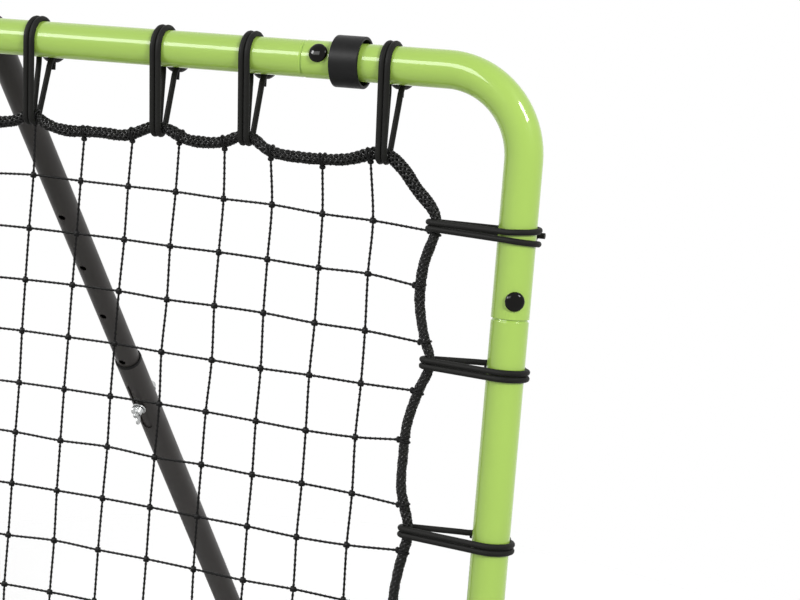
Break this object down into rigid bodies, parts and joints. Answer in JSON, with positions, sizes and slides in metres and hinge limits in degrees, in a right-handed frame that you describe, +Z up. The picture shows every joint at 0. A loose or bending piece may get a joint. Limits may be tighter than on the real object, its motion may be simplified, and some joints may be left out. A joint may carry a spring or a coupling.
{
  "type": "ball rebounder",
  "caption": "Square tube frame with an elastic net, leaning back on a telescopic strut from a ground frame; a wing nut in the strut's slot sets the angle.",
  "frame": {"origin": "on the ground, under the centre of the whole object's box", "axes": "+X to the player's right along the top tube, +Y away from the player towards the strut's foot, +Z up"},
  "size_m": [1.0998, 0.9229, 1.085],
  "materials": {
    "green_powder_coat": "gloss powder coat",
    "black_powder_coat": "satin powder coat",
    "zinc_plate": "bright zinc plate",
    "black_steel": "gloss black",
    "black_plastic": "satin",
    "black_rubber": "matt",
    "net_string": "twisted cord",
    "border_rope": "knitted rope"
  },
  "bodies": {
    "base": {"base_rail_left": "black_powder_coat", "base_rail_right": "black_powder_coat", "rear_bar": "black_powder_coat", "bolt_rear_bar_left": "black_steel", "nut_rear_bar_left": "zinc_plate", "bolt_rear_bar_right": "black_steel", "nut_rear_bar_right": "zinc_plate", "rail_plug_left": "black_plastic", "rail_plug_right": "black_plastic", "foot_front_left": "black_rubber", "foot_rear_left": "black_rubber", "foot_front_right": "black_rubber", "foot_rear_right": "black_rubber", "hinge_left_bolt": "zinc_plate", "hinge_left_nut": "zinc_plate", "hinge_right_bolt": "zinc_plate", "hinge_right_nut": "zinc_plate", "rear_bracket": "black_powder_coat", "rear_pivot_bolt": "zinc_plate", "rear_pivot_nut": "zinc_plate"},
    "net_frame": {"corner_bottom_left": "green_powder_coat", "corner_bottom_right": "green_powder_coat", "corner_top_left": "green_powder_coat", "corner_top_right": "green_powder_coat", "bottom_tube": "green_powder_coat", "top_tube": "green_powder_coat", "left_tube": "green_powder_coat", "right_tube": "green_powder_coat", "bolt_bottom_tube_left": "black_steel", "nut_bottom_tube_left": "zinc_plate", "bolt_bottom_tube_right": "black_steel", "nut_bottom_tube_right": "zinc_plate", "bolt_top_tube_left": "black_steel", "nut_top_tube_left": "zinc_plate", "bolt_top_tube_right": "black_steel", "nut_top_tube_right": "zinc_plate", "bolt_left_tube_bottom": "black_steel", "nut_left_tube_bottom": "zinc_plate", "bolt_left_tube_top": "black_steel", "nut_left_tube_top": "zinc_plate", "bolt_right_tube_bottom": "black_steel", "nut_right_tube_bottom": "zinc_plate", "bolt_right_tube_top": "black_steel", "nut_right_tube_top": "zinc_plate", "border_rope": "border_rope", "net": "net_string", "hinge_bracket_left": "green_powder_coat", "hinge_bracket_right": "green_powder_coat", "strut_bracket": "green_powder_coat", "top_pivot_bolt": "zinc_plate", "top_pivot_nut": "zinc_plate"},
    "strut_outer": {"strut_outer_tube": "black_powder_coat"},
    "strut_inner": {"strut_inner_tube": "black_powder_coat", "strut_head_plug": "black_plastic", "lock_bolt": "zinc_plate", "lock_washer_front": "zinc_plate", "lock_washer_rear": "zinc_plate"},
    "wing_nut": {"wing_nut": "zinc_plate"},
    "sleeve_left": {"sleeve_left": "black_plastic"},
    "sleeve_right": {"sleeve_right": "black_plastic"}
  },
  "joints": [
    {"name": "frame_tilt", "type": "hinge", "parent": "base", "child": "net_frame", "pos_m": [0, -0.40053, 0.022], "axis": [1, 0, 0], "range_deg": [-2.2, 2.2]},
    {"name": "strut_swing", "type": "hinge", "parent": "base", "child": "strut_outer", "pos_m": [0, 0.44048, 0.066], "axis": [1, 0, 0], "range_deg": [-1.65, 1.65]},
    {"name": "strut_slide", "type": "slide", "parent": "strut_outer", "child": "strut_inner", "axis": [0, -0.5305, 0.8477], "range_m": [-0.0305, 0.0305]},
    {"name": "wing_nut_turn", "type": "hinge", "parent": "strut_inner", "child": "wing_nut", "pos_m": [0, 0.10313, 0.60503], "axis": [0, -0.8477, -0.5305], "continuous": true},
    {"name": "sleeve_left_slide", "type": "slide", "parent": "net_frame", "child": "sleeve_left", "axis": [1, 0, 0], "range_m": [-0.011, 0.002]},
    {"name": "sleeve_right_slide", "type": "slide", "parent": "net_frame", "child": "sleeve_right", "axis": [1, 0, 0], "range_m": [-0.002, 0.011]}
  ],
  "couplings": [
    {"joint": "strut_swing", "follows": "frame_tilt", "ratio": 0.64932},
    {"joint": "strut_slide", "follows": "frame_tilt", "m_per_rad": 0.73624}
  ]
}
